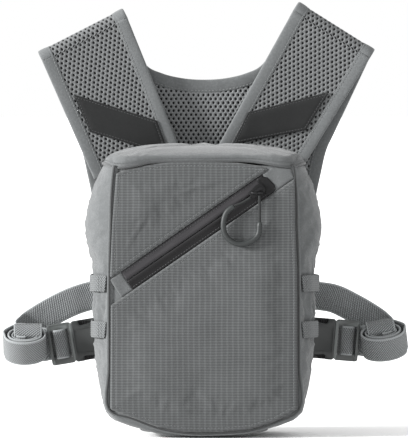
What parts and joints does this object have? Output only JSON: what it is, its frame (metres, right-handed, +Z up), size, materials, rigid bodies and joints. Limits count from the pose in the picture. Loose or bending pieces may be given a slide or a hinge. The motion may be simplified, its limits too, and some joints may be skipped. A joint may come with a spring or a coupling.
{
  "type": "binocular harness pack",
  "caption": "Padded chest pouch for binoculars with a hinged lid and a diagonal zipped front pocket, on a mesh shoulder harness with side-release buckles.",
  "frame": {"origin": "middle of the pouch's flat base", "axes": "+Z up the pouch, -Y out of its front, +X to the right as seen from the front"},
  "size_m": [0.345, 0.1266, 0.3682],
  "materials": {
    "shell_cloth": "smooth woven",
    "ripstop": "grid ripstop weave",
    "spacer_mesh": "open hexagonal mesh",
    "webbing": "ribbed webbing",
    "dark_band": "smooth dark band",
    "zip_tape": "coated satin",
    "foam": "soft closed-cell foam under lining",
    "buckle_plastic": "fine satin moulding",
    "cord": "braided cord",
    "board": "smooth sheet",
    "magnet": "plated"
  },
  "bodies": {
    "pack": {"pouch_shell": "shell_cloth", "liner_foam": "foam", "bottom_board": "board", "pouch_magnet_bar": "magnet", "back_stiffener": "board", "back_pad": "foam", "front_panel_upper": "ripstop", "front_panel_lower": "ripstop", "zip_garage_lower": "shell_cloth", "zip_garage_upper": "shell_cloth", "zip_tape_upper": "zip_tape", "zip_tape_lower": "zip_tape", "zip_coil": "zip_tape", "front_panel_piping": "webbing", "side_loop_left_upper": "webbing", "side_loop_right_upper": "webbing", "side_loop_left_lower": "webbing", "side_loop_right_lower": "webbing", "buckle_socket_left": "buckle_plastic", "socket_tab_left": "webbing", "buckle_socket_right": "buckle_plastic", "socket_tab_right": "webbing", "strap_mesh_left": "spacer_mesh", "strap_binding_left_outer": "webbing", "strap_binding_left_inner": "webbing", "strap_band_left": "dark_band", "strap_anchor_left": "webbing", "strap_mesh_right": "spacer_mesh", "strap_binding_right_outer": "webbing", "strap_binding_right_inner": "webbing", "strap_band_right": "dark_band", "strap_anchor_right": "webbing"},
    "lid": {"lid_shell": "shell_cloth", "lid_foam": "foam", "lid_magnet_bar": "magnet", "lid_pull_tab": "webbing"},
    "zip_slider": {"zip_slider": "buckle_plastic"},
    "zip_pull": {"zip_pull_cord": "cord", "zip_pull_sleeve": "buckle_plastic"},
    "plug_left": {"buckle_plug_left": "buckle_plastic", "webbing_roll_left": "webbing"},
    "plug_right": {"buckle_plug_right": "buckle_plastic", "webbing_roll_right": "webbing"},
    "yoke": {"yoke_panel": "spacer_mesh", "yoke_binding_left": "webbing", "yoke_binding_right": "webbing", "yoke_binding_neck": "webbing", "yoke_binding_bottom": "webbing", "side_webbing_left": "webbing", "side_webbing_right": "webbing", "shoulder_fold_left": "spacer_mesh", "shoulder_fold_right": "spacer_mesh"},
    "prong_left_upper": {"buckle_prong_left_upper": "buckle_plastic"},
    "prong_left_lower": {"buckle_prong_left_lower": "buckle_plastic"},
    "prong_right_upper": {"buckle_prong_right_upper": "buckle_plastic"},
    "prong_right_lower": {"buckle_prong_right_lower": "buckle_plastic"}
  },
  "joints": [
    {"name": "lid_hinge", "type": "hinge", "parent": "pack", "child": "lid", "pos_m": [0, -0.0513, 0.2292], "axis": [1, 0, 0], "range_deg": [0, 130]},
    {"name": "zip_slide", "type": "slide", "parent": "pack", "child": "zip_slider", "axis": [-0.8226, 0, -0.5686], "range_m": [0, 0.122]},
    {"name": "pull_lift", "type": "hinge", "parent": "zip_slider", "child": "zip_pull", "pos_m": [0.0448, -0.057, 0.206], "axis": [-1, 0, 0], "range_deg": [0, 120]},
    {"name": "yoke_swing", "type": "hinge", "parent": "pack", "child": "yoke", "pos_m": [0, 0.057, 0.344], "axis": [1, 0, 0], "range_deg": [0, 25], "deforming": ["shoulder_fold_left", "shoulder_fold_right", "side_webbing_left", "side_webbing_right"]},
    {"name": "plug_left_slide", "type": "slide", "parent": "pack", "child": "plug_left", "axis": [-0.9863, 0, -0.165], "range_m": [0, 0.026], "deforming": ["buckle_prong_left_upper", "buckle_prong_left_lower", "side_webbing_left"]},
    {"name": "prong_left_upper_squeeze", "type": "hinge", "parent": "plug_left", "child": "prong_left_upper", "pos_m": [-0.11362, 0.04, 0.08607], "axis": [0, 1, 0], "range_deg": [0, 8], "stiffness_Nm_per_rad": 0.05},
    {"name": "prong_left_lower_squeeze", "type": "hinge", "parent": "plug_left", "child": "prong_left_lower", "pos_m": [-0.11038, 0.04, 0.06673], "axis": [0, -1, 0], "range_deg": [0, 8], "stiffness_Nm_per_rad": 0.05},
    {"name": "plug_right_slide", "type": "slide", "parent": "pack", "child": "plug_right", "axis": [0.9969, 0, -0.0785], "range_m": [0, 0.026], "deforming": ["buckle_prong_right_upper", "buckle_prong_right_lower", "side_webbing_right"]},
    {"name": "prong_right_upper_squeeze", "type": "hinge", "parent": "plug_right", "child": "prong_right_upper", "pos_m": [0.11277, 0.04, 0.08817], "axis": [0, -1, 0], "range_deg": [0, 8], "stiffness_Nm_per_rad": 0.05},
    {"name": "prong_right_lower_squeeze", "type": "hinge", "parent": "plug_right", "child": "prong_right_lower", "pos_m": [0.11123, 0.04, 0.06863], "axis": [0, 1, 0], "range_deg": [0, 8], "stiffness_Nm_per_rad": 0.05}
  ]
}
